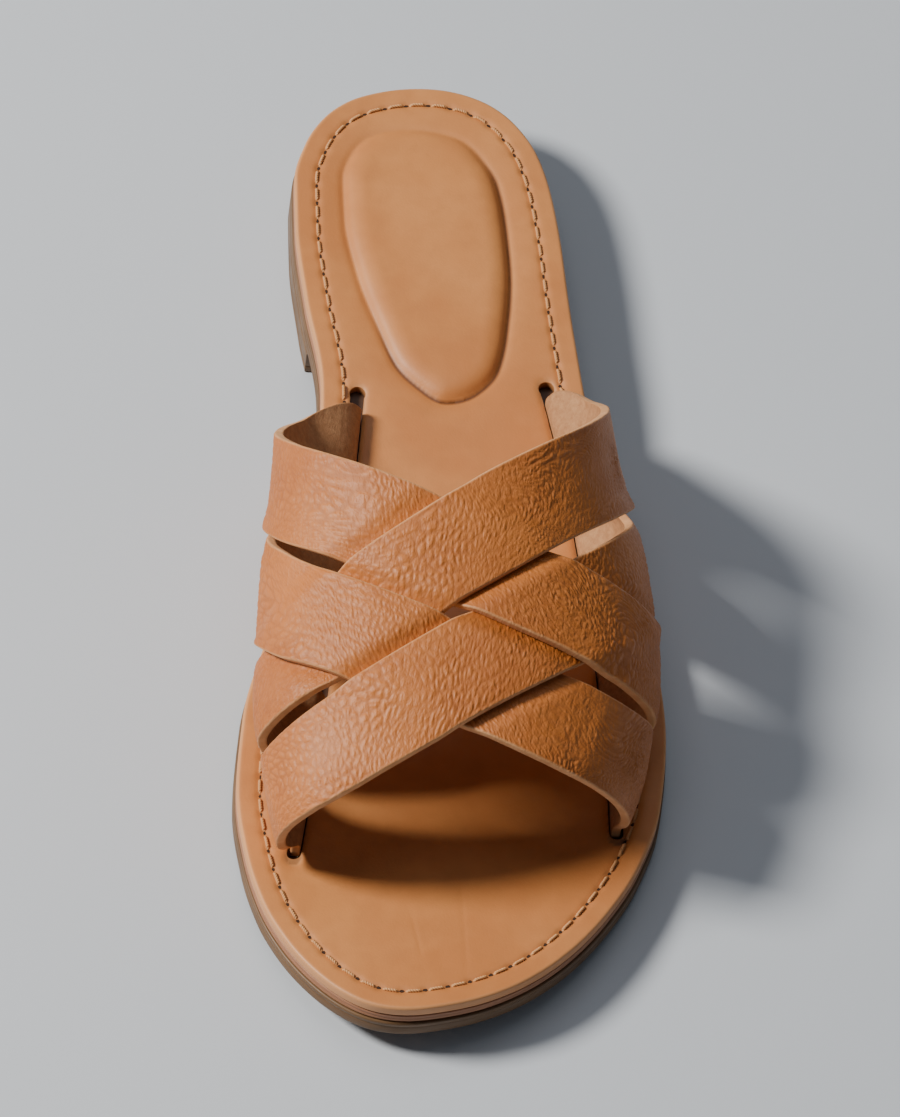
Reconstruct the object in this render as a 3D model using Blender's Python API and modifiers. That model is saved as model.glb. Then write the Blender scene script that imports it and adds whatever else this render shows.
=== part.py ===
"""Cross strap sandal, left foot: four leather straps woven over a leather insole, on a low heeled sole.

Metres, +Z up. The toe points along -Y and the lateral side is +X. The origin is on the floor, under the
middle of the sole. Tables are in millimetres.
"""
import math

import bmesh
import bpy
import numpy as np

MM = 0.001

# Driving dimensions
SOLE_LENGTH = 249 * MM
OUTSOLE_THICKNESS = 4.2 * MM
MIDSOLE_THICKNESS = 2.0 * MM
INSOLE_THICKNESS = 2.6 * MM
LAYER_GAP = 0.3 * MM
EDGE_ROUNDING = 0.5 * MM
STRAP_WIDTH = 21.4 * MM
STRAP_THICKNESS = 2.6 * MM
STRAP_EMBED = 0.25 * MM
SLOT_CLEARANCE = 0.35 * MM
SLOT_OVERRUN = 1.8 * MM
FOOT_CLEAR = 0.6 * MM
PUNCH_RADIUS = 2.3 * MM
STRAP_SWAY = 0.34
LIFT_INSIDE = 3.0 * MM
LIFT_OUTSIDE = 4.5 * MM
HEEL_FRONT = 179 * MM
OUTSOLE_MARGIN = 0.5 * MM
PAD_RISE = 1.7 * MM
PAD_SUNK = 1.0 * MM
PAD_ROUNDING = 1.4 * MM
CUTTER_HEIGHT = 12 * MM

# How finely the curved pieces are divided
SOLE_STATIONS = 44
HEEL_STATIONS = 22
PAD_STATIONS = 18
SLOT_STATIONS = 14
STRAP_STATIONS = 34
STRAP_COLUMNS = 4
ARCH_KNOTS = (0.09, 0.18, 0.28, 0.39, 0.5, 0.61, 0.72, 0.82, 0.91)
ARCH_POINTS = 141
CURVE_STEPS = 12
SURFACE_ROWS = 56
SURFACE_ENDS = (-0.05, 1.05)
SLOPE_STEP = 0.012
PUNCH_SIDES = 16
BEVEL_SEGMENTS = 2
BEVEL_ANGLE = math.radians(50)
SHARP_ANGLE = math.radians(35)
SAME_POINT = 0.001 * MM

# The sole's outline: distance from the toe, medial edge, lateral edge
OUTLINE = (
    (0.0, -11.9, -11.9),
    (1.0, -18.4, -4.4),
    (4.2, -24.4, 5.7),
    (10.2, -30.8, 16.0),
    (18.7, -36.8, 25.2),
    (28.6, -41.4, 32.7),
    (42.5, -44.9, 40.3),
    (58.0, -46.6, 45.2),
    (78.0, -45.2, 47.0),
    (100.0, -39.7, 45.1),
    (120.0, -33.5, 40.2),
    (140.0, -28.9, 35.0),
    (163.0, -28.1, 30.8),
    (187.0, -31.5, 27.9),
    (207.0, -33.6, 26.1),
    (221.0, -33.8, 24.1),
    (231.5, -31.3, 21.2),
    (239.0, -27.2, 17.0),
    (244.5, -21.2, 11.5),
    (247.8, -12.9, 4.7),
    (249.0, -3.4, -3.4),
)

# The raised heel pad's outline: distance from the toe, medial edge, lateral edge
PAD_OUTLINE = (
    (161.0, -0.4, -0.4),
    (163.5, -5.3, 6.4),
    (170.0, -11.3, 11.3),
    (180.0, -15.2, 13.3),
    (195.0, -19.8, 14.4),
    (210.0, -22.4, 13.6),
    (222.0, -22.7, 11.8),
    (229.0, -20.8, 8.4),
    (234.0, -16.9, 4.2),
    (236.6, -6.4, -6.4),
)

# The sole's underside: distance from the toe, height over the floor
UNDERSIDE = (
    (0, 5.6),
    (20, 2.9),
    (40, 0.9),
    (56, 0.0),
    (104, 0.0),
    (120, 1.4),
    (140, 4.0),
    (160, 6.1),
    (178, 7.1),
    (249, 7.1),
)

# The slits that the straps go down through: heel end and toe end, as x and distance from the toe, and bow
SLITS = {
    "medial": ((-20.0, 162.3), (-34.8, 39.4), 1.2),
    "lateral": ((22.1, 165.6), (35.5, 50.6), 3.2),
}

# The arches that the straps lie on, from the heel end of the slits to their toe end:
# place along the slits, height along the lean, half width, lean in degrees,
# shifts of top and sides to lateral, shift of the sides to the toe
ARCHES = (
    (0.0, 62.0, 35.2, 22.0, -6.5, -2.6, 2.4),
    (0.2, 57.3, 37.2, 23.5, -6.0, -2.6, 2.0),
    (0.4, 52.5, 41.2, 25.0, -5.4, -1.6, 2.2),
    (0.65, 46.1, 43.6, 24.5, -4.2, -1.0, 3.2),
    (0.85, 40.6, 40.8, 23.4, -3.2, -0.6, 3.0),
    (1.0, 36.0, 37.2, 22.0, -2.5, -0.4, 1.0),
)

# Each strap's centre line, as its place along the slits at the medial foot, the middle and the lateral foot
STRAPS = {
    "rear_down": (0.116, 0.442, 0.703),
    "front_down": (0.334, 0.695, 0.905),
    "rear_up": (0.713, 0.440, 0.126),
    "front_up": (0.906, 0.694, 0.344),
}

# Which strap lies over which
OVER_UNDER = (
    ("rear_up", "rear_down"),
    ("front_down", "rear_up"),
    ("rear_down", "front_up"),
    ("front_up", "front_down"),
)

# Each piece's colour and roughness
FINISHES = {
    "outsole": ((0.16, 0.10, 0.055), 0.6),
    "heel": ((0.16, 0.10, 0.055), 0.6),
    "midsole": ((0.45, 0.22, 0.12), 0.55),
    "insole": ((0.64, 0.36, 0.18), 0.5),
    "upper": ((0.56, 0.27, 0.11), 0.55),
}


def smooth(rows, column, place):
    """The value of a table's column at a place, on a monotone cubic through its rows."""
    xs = np.array([row[0] for row in rows], float)
    ys = np.array([row[column] for row in rows], float)
    steps = np.diff(xs)
    slopes = np.diff(ys) / steps
    tangents = np.zeros(len(ys))
    tangents[0], tangents[-1] = slopes[0], slopes[-1]
    for i in range(1, len(xs) - 1):
        if slopes[i - 1] * slopes[i] > 0:
            before = 2 * steps[i] + steps[i - 1]
            after = steps[i] + 2 * steps[i - 1]
            tangents[i] = (before + after) / (before / slopes[i - 1] + after / slopes[i])
    place = min(max(place, xs[0]), xs[-1])
    i = min(int(np.searchsorted(xs, place, side="right")) - 1, len(xs) - 2)
    t = (place - xs[i]) / steps[i]
    return (
        (2 * t**3 - 3 * t**2 + 1) * ys[i]
        + (t**3 - 2 * t**2 + t) * steps[i] * tangents[i]
        + (3 * t**2 - 2 * t**3) * ys[i + 1]
        + (t**3 - t**2) * steps[i] * tangents[i + 1]
    )


def turn(distance, first, last):
    """The angle of a station on the half circle from one end of an outline to the other."""
    return math.acos(1 - 2 * (min(max(distance, first), last) - first) / (last - first))


def outline_sides(rows, margin=0.0):
    """A function that gives an outline's medial and lateral x at a distance from the toe."""
    first, last = rows[0][0], rows[-1][0]
    turned = [(turn(row[0], first, last), row[1], row[2]) for row in rows]

    def sides(distance):
        angle = turn(distance / MM, first - margin / MM, last + margin / MM)
        grow = margin * math.sin(angle)
        return smooth(turned, 1, angle) * MM - grow, smooth(turned, 2, angle) * MM + grow

    return sides


def underside(distance):
    """Height of the outsole's underside over the floor."""
    return smooth(UNDERSIDE, 1, distance / MM) * MM


OUTSOLE_TOP = OUTSOLE_THICKNESS
MIDSOLE_LOW = OUTSOLE_TOP + LAYER_GAP
MIDSOLE_TOP = MIDSOLE_LOW + MIDSOLE_THICKNESS
INSOLE_LOW = MIDSOLE_TOP + LAYER_GAP
INSOLE_TOP = INSOLE_LOW + INSOLE_THICKNESS


def slit_point(side, place):
    """The slit's middle line: x and distance from the toe, from its heel end (0) to its toe end (1)."""
    heel_end, toe_end, bow = SLITS[side]
    x = heel_end[0] + (toe_end[0] - heel_end[0]) * place + 4 * bow * place * (1 - place)
    distance = heel_end[1] + (toe_end[1] - heel_end[1]) * place
    return x * MM, distance * MM


def slit_sides(side):
    """A function that gives both walls of a strap slit, with round ends, at a distance from the toe."""
    heel_end, toe_end, _ = SLITS[side]
    half = STRAP_THICKNESS / 2 + SLOT_CLEARANCE
    first, last = toe_end[1] * MM - SLOT_OVERRUN, heel_end[1] * MM + SLOT_OVERRUN

    def sides(distance):
        place = (distance / MM - heel_end[1]) / (toe_end[1] - heel_end[1])
        x = slit_point(side, place)[0]
        from_end = min(distance - first, last - distance, half)
        wide = math.sqrt(max(half**2 - (half - from_end) ** 2, 0.0))
        return x - wide, x + wide

    return sides, first, last


def at_toe(distance):
    """The Y of a distance from the toe."""
    return distance - SOLE_LENGTH / 2


def curve_through(points, count):
    """Points on a smooth curve through the given ones: both ends, and evenly between their neighbours."""
    points = np.array(points)
    chord = np.concatenate([[0.0], np.cumsum(np.linalg.norm(np.diff(points, axis=0), axis=1))])
    tangents = np.gradient(points, chord, axis=0)
    fine = []
    for i in range(len(points) - 1):
        step = chord[i + 1] - chord[i]
        for t in np.linspace(0, 1, CURVE_STEPS + 1)[1 if i else 0 :]:
            fine.append(
                (2 * t**3 - 3 * t**2 + 1) * points[i]
                + (t**3 - 2 * t**2 + t) * step * tangents[i]
                + (3 * t**2 - 2 * t**3) * points[i + 1]
                + (t**3 - t**2) * step * tangents[i + 1]
            )
    fine = np.array(fine)
    length = np.concatenate([[0.0], np.cumsum(np.linalg.norm(np.diff(fine, axis=0), axis=1))])
    inner = np.linspace(length[CURVE_STEPS], length[-1 - CURVE_STEPS], count - 2)
    places = np.concatenate([[0.0], inner, [length[-1]]])
    return np.stack([np.interp(places, length, fine[:, axis]) for axis in range(3)], -1)


def arch(place, count):
    """Points across the foot on the straps' middle surface, from the medial slit to the lateral one."""
    height, half_width, lean, top_shift, side_shift, forward = (
        smooth(ARCHES, column, place) * (math.radians(1) if column == 3 else MM) for column in range(1, 7)
    )
    feet = [np.array(slit_point(side, place)) for side in ("medial", "lateral")]
    across = feet[1] - feet[0]
    half_chord = np.linalg.norm(across) / 2
    across /= 2 * half_chord
    middle = (feet[0] + feet[1]) / 2
    # An ellipse that meets both feet below its widest place
    sunk = math.sqrt(1 - (half_chord / half_width) ** 2)
    rise = height / (1 + sunk)
    below = math.asin(sunk)
    base = underside(middle[1]) + INSOLE_TOP
    knots = []
    for step in ARCH_KNOTS:
        angle = math.pi + below - (math.pi + 2 * below) * step
        out, up = half_width * math.cos(angle), rise * (sunk + math.sin(angle))
        share = up / height
        at_sides = 4 * share * (1 - share)
        x = middle[0] + out * across[0] + top_shift * share + side_shift * at_sides
        distance = middle[1] + out * across[1] - up * math.sin(lean) - forward * at_sides
        knots.append((x, at_toe(distance), base + up * math.cos(lean)))
    ends = []
    for x, distance in feet:
        floor = underside(distance)
        low = (x, at_toe(distance), floor + INSOLE_LOW)
        high = (x, at_toe(distance), floor + INSOLE_TOP + FOOT_CLEAR)
        ends.append([low, high])
    return curve_through(ends[0] + knots + ends[1][::-1], count)


class Surface:
    """The straps' middle surface: a point for a place across (0 to 1) and a place along the slits."""

    def __init__(self):
        self.along = np.linspace(*SURFACE_ENDS, SURFACE_ROWS)
        self.grid = np.array([arch(place, ARCH_POINTS) for place in self.along])

    def point(self, across, along):
        row = (along - self.along[0]) / (self.along[1] - self.along[0])
        column = across * (ARCH_POINTS - 1)
        i = min(max(int(row), 0), SURFACE_ROWS - 2)
        j = min(max(int(column), 0), ARCH_POINTS - 2)
        a, b = row - i, column - j
        low = self.grid[i, j] * (1 - b) + self.grid[i, j + 1] * b
        high = self.grid[i + 1, j] * (1 - b) + self.grid[i + 1, j + 1] * b
        return low * (1 - a) + high * a

    def slopes(self, across, along):
        """How a point moves with each of its two places."""
        before, after = max(across - SLOPE_STEP, 0), min(across + SLOPE_STEP, 1)
        by_across = (self.point(after, along) - self.point(before, along)) / (after - before)
        ahead, behind = self.point(across, along + SLOPE_STEP), self.point(across, along - SLOPE_STEP)
        return by_across, (ahead - behind) / (2 * SLOPE_STEP)

    def normal(self, across, along):
        by_across, by_along = self.slopes(across, along)
        outward = np.cross(by_along, by_across)
        return outward / np.linalg.norm(outward)


def strap_line(name, across):
    """A strap's centre line: its place along the slits, steeper in the middle than at its feet."""
    first, middle, last = STRAPS[name]
    s = across - STRAP_SWAY * math.sin(2 * math.pi * across) / (2 * math.pi)
    return first * (1 - s) * (1 - 2 * s) + middle * 4 * s * (1 - s) + last * s * (2 * s - 1)


def strap_reach(surface, name, across):
    """How far, in places along the slits, 1 m square to a strap's centre line reaches."""
    by_across, by_along = surface.slopes(across, strap_line(name, across))
    rise = (strap_line(name, across + SLOPE_STEP) - strap_line(name, across - SLOPE_STEP)) / (2 * SLOPE_STEP)
    outward = surface.normal(across, strap_line(name, across))
    square = np.cross(outward, by_across + by_along * rise)
    return 1 / abs(by_along @ square) * np.linalg.norm(square)


def blend(value, low, high):
    """A soft step from 0 at low to 1 at high."""
    t = min(max((value - low) / (high - low), 0), 1)
    return t * t * (3 - 2 * t)


def strap_lift(surface, name, across, along):
    """How far a strap's middle stands over or under the common surface where it crosses others."""
    lift = 0.0
    for over, under in OVER_UNDER:
        if name in (over, under):
            other = under if name == over else over
            distance = abs(along - strap_line(other, across)) / strap_reach(surface, other, across)
            on_top = 1 - blend(distance, STRAP_WIDTH / 2 - LIFT_INSIDE, STRAP_WIDTH / 2 + LIFT_OUTSIDE)
            lift += (1 if name == over else -1) * on_top
    return lift * (STRAP_THICKNESS - STRAP_EMBED) / 2


def new_cutter(name, mesh, cutters):
    """An object that only cuts or joins another: it shows as wire and isn't rendered."""
    cutter = bpy.data.objects.new(name, mesh)
    cutters.objects.link(cutter)
    cutter.hide_render = True
    cutter.display_type = "WIRE"
    return cutter


def new_piece(name, mesh, parts):
    """A piece of the sandal, with its own Principled material."""
    thing = bpy.data.objects.new(name, mesh)
    parts.objects.link(thing)
    colour, roughness = FINISHES[name]
    material = bpy.data.materials.new(name)
    material.use_nodes = True
    shader = material.node_tree.nodes["Principled BSDF"]
    shader.inputs["Base Color"].default_value = (*colour, 1)
    shader.inputs["Roughness"].default_value = roughness
    shader.inputs["Metallic"].default_value = 0.0
    mesh.materials.append(material)
    return thing


def finished_mesh(model, name):
    """The mesh of a bmesh model, shaded smooth between its sharp edges."""
    mesh = bpy.data.meshes.new(name)
    model.to_mesh(mesh)
    model.free()
    mesh.shade_smooth()
    mesh.set_sharp_from_angle(angle=SHARP_ANGLE)
    return mesh


def plate_mesh(name, sides, first, last, stations, low, thickness):
    """A plate between two sides: a grid laid along the sole, doubled upwards and closed round its rim."""
    model = bmesh.new()
    bmesh.ops.create_grid(model, x_segments=stations, y_segments=1, size=1)
    for vertex in model.verts:
        angle = (vertex.co.x + 1) / 2 * math.pi
        distance = first + (last - first) * (1 - math.cos(angle)) / 2
        medial, lateral = sides(distance)
        x = medial if vertex.co.y < 0 else lateral
        vertex.co = (x, at_toe(distance), low(distance))
    bmesh.ops.remove_doubles(model, verts=model.verts[:], dist=SAME_POINT)
    upper_side = bmesh.ops.duplicate(model, geom=model.faces[:])["geom"]
    for vertex in {v for face in upper_side if isinstance(face, bmesh.types.BMFace) for v in face.verts}:
        vertex.co.z += thickness
    rim = [edge for edge in model.edges if edge.is_boundary]
    bmesh.ops.bridge_loops(model, edges=rim)
    bmesh.ops.recalc_face_normals(model, faces=model.faces[:])
    return finished_mesh(model, name)


def add_bevel(thing, width):
    """Rounds a plate's rims."""
    bevel = thing.modifiers.new("rounded rims", "BEVEL")
    bevel.width = width
    bevel.segments = BEVEL_SEGMENTS
    bevel.limit_method = "ANGLE"
    bevel.angle_limit = BEVEL_ANGLE


def add_boolean(thing, other, operation):
    boolean = thing.modifiers.new(f"{operation} {other.name}".lower(), "BOOLEAN")
    boolean.operation = operation
    boolean.solver = "EXACT"
    boolean.object = other


def make_outsole(parts):
    """The outsole: flat under the ball and the heel, arched at the waist and sprung at the toe."""
    mesh = plate_mesh(
        "outsole", outline_sides(OUTLINE, OUTSOLE_MARGIN), -OUTSOLE_MARGIN, SOLE_LENGTH + OUTSOLE_MARGIN,
        SOLE_STATIONS, underside, OUTSOLE_THICKNESS,
    )
    add_bevel(new_piece("outsole", mesh, parts), EDGE_ROUNDING)


def make_heel(parts):
    """The low heel block under the outsole."""
    mesh = plate_mesh(
        "heel", outline_sides(OUTLINE, OUTSOLE_MARGIN), HEEL_FRONT, SOLE_LENGTH + OUTSOLE_MARGIN,
        HEEL_STATIONS, lambda distance: 0.0, underside(SOLE_LENGTH) - LAYER_GAP,
    )
    add_bevel(new_piece("heel", mesh, parts), EDGE_ROUNDING)


def make_midsole(parts):
    """The thin leather layer between outsole and insole."""
    mesh = plate_mesh(
        "midsole", outline_sides(OUTLINE), 0.0, SOLE_LENGTH, SOLE_STATIONS,
        lambda distance: underside(distance) + MIDSOLE_LOW, MIDSOLE_THICKNESS,
    )
    new_piece("midsole", mesh, parts)


def make_slot(side, cutters):
    """A cutter for one strap slit, with the round punch hole at its heel end."""
    sides, first, last = slit_sides(side)
    mesh = plate_mesh(
        f"{side}_slot", sides, first, last, SLOT_STATIONS,
        lambda distance: underside(distance) + MIDSOLE_LOW, CUTTER_HEIGHT,
    )
    slot = new_cutter(f"{side}_slot", mesh, cutters)
    x, distance = slit_point(side, 0)
    model = bmesh.new()
    bmesh.ops.create_cone(
        model, cap_ends=True, segments=PUNCH_SIDES, radius1=PUNCH_RADIUS, radius2=PUNCH_RADIUS,
        depth=CUTTER_HEIGHT,
    )
    punch = new_cutter(f"{side}_punch", finished_mesh(model, f"{side}_punch"), cutters)
    punch.location = (x, at_toe(distance), underside(distance) + INSOLE_LOW)
    return slot, punch


def make_insole(parts, cutters):
    """The leather insole, with its heel pad raised and its strap slits cut through."""
    mesh = plate_mesh(
        "insole", outline_sides(OUTLINE), 0.0, SOLE_LENGTH, SOLE_STATIONS,
        lambda distance: underside(distance) + INSOLE_LOW, INSOLE_THICKNESS,
    )
    insole = new_piece("insole", mesh, parts)
    add_bevel(insole, EDGE_ROUNDING)
    pad_low, pad_high = PAD_OUTLINE[0][0] * MM, PAD_OUTLINE[-1][0] * MM
    mesh = plate_mesh(
        "pad", outline_sides(PAD_OUTLINE), pad_low, pad_high, PAD_STATIONS,
        lambda distance: underside(distance) + INSOLE_TOP - PAD_SUNK, PAD_RISE + PAD_SUNK,
    )
    pad = new_cutter("pad", mesh, cutters)
    add_bevel(pad, PAD_ROUNDING)
    add_boolean(insole, pad, "UNION")
    for side in SLITS:
        for cutter in make_slot(side, cutters):
            add_boolean(insole, cutter, "DIFFERENCE")


def strap_mesh(name, surface):
    """The middle of one strap: a grid laid on the common surface, lifted where it crosses others."""
    model = bmesh.new()
    bmesh.ops.create_grid(model, x_segments=STRAP_STATIONS, y_segments=STRAP_COLUMNS, size=1)
    foot = 1 / (ARCH_POINTS - 1)
    rows = [0.0, *np.linspace(foot, 1 - foot, STRAP_STATIONS - 1), 1.0]
    for vertex in model.verts:
        across = rows[round((vertex.co.x + 1) / 2 * STRAP_STATIONS)]
        half = STRAP_WIDTH / 2 * strap_reach(surface, name, across)
        along = strap_line(name, across) + vertex.co.y * half
        lift = strap_lift(surface, name, across, along)
        vertex.co = surface.point(across, along) + surface.normal(across, along) * lift
    bmesh.ops.recalc_face_normals(model, faces=model.faces[:])
    return finished_mesh(model, name)


def add_wall(strap):
    """Gives a strap its leather's thickness, half to each side."""
    wall = strap.modifiers.new("wall", "SOLIDIFY")
    wall.thickness = STRAP_THICKNESS
    wall.offset = 0
    wall.use_even_offset = True


def make_upper(parts, cutters):
    """The upper: four straps joined where they cross."""
    surface = Surface()
    first, *others = STRAPS
    upper = new_piece("upper", strap_mesh(first, surface), parts)
    add_wall(upper)
    for name in others:
        strap = new_cutter(name, strap_mesh(name, surface), cutters)
        add_wall(strap)
        add_boolean(upper, strap, "UNION")
    upper.modifiers.new("even shading", "WEIGHTED_NORMAL")


def main():
    for thing in list(bpy.data.objects):
        bpy.data.objects.remove(thing)
    parts = bpy.data.collections.new("cross strap sandal")
    cutters = bpy.data.collections.new("cutters and joined pieces")
    bpy.context.scene.collection.children.link(parts)
    bpy.context.scene.collection.children.link(cutters)
    make_outsole(parts)
    make_heel(parts)
    make_midsole(parts)
    make_insole(parts, cutters)
    make_upper(parts, cutters)


main()
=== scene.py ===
"""Cross strap sandal, left foot: the looks of every surface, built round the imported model.

Metres, +Z up. The toe points along -Y and the lateral side is +X. The origin is on the floor, under the
middle of the sole. Tables are in millimetres, and a distance is measured from the toe.
"""
import math
from contextlib import contextmanager

import bmesh
import bpy
import numpy as np
from mathutils import Matrix, Vector
from mathutils.kdtree import KDTree


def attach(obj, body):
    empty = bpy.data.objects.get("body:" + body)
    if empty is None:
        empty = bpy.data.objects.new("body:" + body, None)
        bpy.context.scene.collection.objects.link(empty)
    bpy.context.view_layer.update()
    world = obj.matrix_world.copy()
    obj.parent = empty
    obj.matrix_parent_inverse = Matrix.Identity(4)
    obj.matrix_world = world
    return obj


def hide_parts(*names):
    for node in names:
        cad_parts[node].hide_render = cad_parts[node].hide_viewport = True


MM = 0.001

# The sandal's driving dimensions
SOLE_LENGTH = 249 * MM
OUTSOLE_THICKNESS = 4.2 * MM
MIDSOLE_THICKNESS = 2.0 * MM
INSOLE_THICKNESS = 2.6 * MM
HEEL_THICKNESS = 6.8 * MM
LAYER_GAP = 0.3 * MM
OUTSOLE_MARGIN = 0.5 * MM
HEEL_FRONT = 179 * MM
STRAP_WIDTH = 21.4 * MM
STRAP_THICKNESS = 2.5 * MM
SLOT_WIDTH = 3.1 * MM
PUNCH_RADIUS = 1.8 * MM

# Heights over the underside
MIDSOLE_LOW = OUTSOLE_THICKNESS + LAYER_GAP
INSOLE_LOW = MIDSOLE_LOW + MIDSOLE_THICKNESS + LAYER_GAP
INSOLE_TOP = INSOLE_LOW + INSOLE_THICKNESS

# How the straps lie; spans are shares of the way across the foot
STRAP_SWAY = 0.34
STRAP_CLEARANCE = 0.1 * MM
FOOT_CLEAR = 0.6 * MM
FOOT_NARROWING = 0.13
NARROWING_SPAN = (0.05, 0.35)
LIFT_INSIDE = 0.8 * MM
LIFT_OUTSIDE = 5.5 * MM
TUCK_START = 0.03
TUCK_FADE = (0.15, 0.24)

# The straps' section and the softness of their surface
TOP_ROUNDING = 0.7 * MM
LOW_ROUNDING = 0.4 * MM
CROWN = 0.16 * MM
TOP_STEPS = 5
WALL_STEPS = 4
LOW_STEPS = 3
RIPPLE_DEPTH = 0.10 * MM
RIPPLE_SIZE = (9 * MM, 7 * MM)
FUZZ_DEPTH = 0.03 * MM
FUZZ_SIZE = 0.7 * MM
FLESH_SHIFT = 0.05

# The seam round the insole
SEAM_INSET = 5.0 * MM
STITCH_PITCH = 5.0 * MM
STITCH_GAP = 1.15 * MM
SEAM_GROOVE_DEPTH = 0.22 * MM
SEAM_GROOVE_WIDTH = 0.7 * MM
DIMPLE_DEPTH = 0.25 * MM
DIMPLE_RADIUS = 1.0 * MM
HOLE_RADIUS = 0.58 * MM
HOLE_LIFT = 0.09 * MM
THREAD_RADIUS = 0.3 * MM
THREAD_TWIST = 1.2 * MM
THREAD_SIDES = 6
THREAD_RINGS = 22
STRAND_OFFSET = 0.45
STRAND_HEIGHT = 0.7
DIP_DEPTH = 0.75 * MM
DIP_SHARE = 0.12
HOLE_SIDES = 12

# The insole's relief: the heel pad, and the furrow and slope round it
PAD_RISE = 1.7 * MM
PAD_ROUNDING = 5.5 * MM
PAD_POWER = 2.4
PAD_FADE = 0.55
PAD_FADE_SPAN = (218 * MM, 236 * MM)
FURROW_DEPTH = 0.42 * MM
FURROW_WIDTH = 1.0 * MM
SLOPE_DEPTH = 0.35 * MM
SLOPE_WIDTH = 3.5 * MM
CREASE_END = 4 * MM

# How the leather beside the slits goes down: depth and width of the lip and of the sunk border
SLIT_BORDERS = (
    (0.55 * MM, 0.55 * MM),
    (0.25 * MM, 3.5 * MM),
)

# Gentle waves in the insole: depth, size across, size along, seed
INSOLE_WAVES = (
    (0.10, 16, 22, 5),
    (0.025, 3.2, 3.2, 6),
)

# The pebbled grain of the straps; its sizes and changes are in cells
GRAIN_CELL = 1.45 * MM
GRAIN_STRETCH = 1.45
GRAIN_DEPTH = 0.32 * MM
GRAIN_GROOVE = 0.36
GRAIN_SLANT = 0.2
GRAIN_WANDER = 0.4
WANDER_SIZE = 4
GRAIN_SWELL = 0.25
SWELL_SIZE = (14, 9)
FINE_SIZE = (0.55, 0.6)
STRENGTH_SIZE = 6

# How finely the meshes are divided
NOISE_TABLE = 64
SURFACE_ROWS = 56
SURFACE_ENDS = (-0.05, 1.05)
ARCH_KNOTS = (0.09, 0.18, 0.28, 0.39, 0.5, 0.61, 0.72, 0.82, 0.91)
ARCH_POINTS = 141
CURVE_STEPS = 40
SLOPE_STEP = 0.012
STRAP_STATIONS = 700
STRAP_COLUMNS = 76
STRAP_UNDER_COLUMNS = 12
SOLE_STATIONS = 180
INSOLE_STATIONS = 370
INSOLE_COLUMNS = 84
SOLE_COLUMNS = 10
LOW_COLUMNS = 8
CORNER_STEPS = 5
OUTLINE_SAMPLES = 4001
RIM_POINTS = 1200
PAD_POINTS = 500
SLIT_POINTS = 400
SEAM_STEP = 0.1 * MM
CUT_STATIONS = 96
CUT_HEIGHT = 12 * MM
CUT_TIP = 0.02 * MM
PUNCH_SIDES = 48
WELD_DISTANCE = 0.02 * MM
SHARP_ANGLE = math.radians(60)
CUT_SHARP_ANGLE = math.radians(48)

# How far the middle line stops short of the outline, as a share of its width
SPINE_FAN = 0.28

# The sole's outline: distance from the toe, medial edge, lateral edge
OUTLINE = (
    (0.0, -11.9, -11.9),
    (1.0, -18.4, -4.4),
    (4.2, -24.4, 5.7),
    (10.2, -30.8, 16.0),
    (18.7, -36.8, 25.2),
    (28.6, -41.4, 32.7),
    (42.5, -44.9, 40.3),
    (58.0, -46.6, 45.2),
    (78.0, -45.2, 47.0),
    (100.0, -39.7, 45.1),
    (120.0, -33.5, 40.2),
    (140.0, -28.9, 35.0),
    (163.0, -28.1, 30.8),
    (187.0, -31.5, 27.9),
    (207.0, -33.6, 26.1),
    (221.0, -33.8, 24.1),
    (231.5, -31.3, 21.2),
    (239.0, -27.2, 17.0),
    (244.5, -21.2, 11.5),
    (247.8, -12.9, 4.7),
    (249.0, -3.4, -3.4),
)

# The raised heel pad's outline: distance from the toe, medial edge, lateral edge
PAD_OUTLINE = (
    (161.0, -0.4, -0.4),
    (163.5, -5.3, 6.4),
    (170.0, -11.3, 11.3),
    (180.0, -15.2, 13.3),
    (195.0, -19.8, 14.4),
    (210.0, -22.4, 13.6),
    (222.0, -22.7, 11.8),
    (229.0, -20.8, 8.4),
    (234.0, -16.9, 4.2),
    (236.6, -6.4, -6.4),
)

# The sole's underside: distance from the toe, height over the floor
UNDERSIDE = (
    (0, 5.6),
    (20, 2.9),
    (40, 0.9),
    (56, 0.0),
    (104, 0.0),
    (120, 1.4),
    (140, 4.0),
    (160, 6.1),
    (178, 7.1),
    (249, 7.1),
)

# The slits that the straps go down through: heel end and toe end as x and distance, and bow
SLITS = {
    "medial": ((-20.0, 162.3), (-34.8, 39.4), 1.2),
    "lateral": ((22.1, 165.6), (35.5, 50.6), 3.2),
}

# How much further than its middle line's toe end each slit is cut
SLIT_OVERRUN = {"medial": -1.6, "lateral": 0.9}

# The arches that the straps lie on, from the heel end of the slits to their toe end:
# place along the slits, height along the lean, half width, lean in degrees,
# shifts of top and sides to lateral, shift of the sides to the toe
ARCHES = (
    (0.0, 62.0, 35.2, 22.0, -6.5, -2.6, 2.4),
    (0.2, 57.3, 37.2, 23.5, -6.0, -2.6, 2.0),
    (0.4, 52.5, 41.2, 25.0, -5.4, -1.6, 2.2),
    (0.65, 46.1, 43.6, 24.5, -4.2, -1.0, 3.2),
    (0.85, 40.6, 40.8, 23.4, -3.2, -0.6, 3.0),
    (1.0, 36.0, 37.2, 22.0, -2.5, -0.4, 1.0),
)

# Each strap's centre line: its places along the slits at the medial foot, the middle and the lateral foot
STRAPS = {
    "rear_down": (0.120, 0.442, 0.716),
    "front_down": (0.291, 0.695, 0.905),
    "rear_up": (0.724, 0.440, 0.126),
    "front_up": (0.895, 0.696, 0.344),
}

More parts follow.
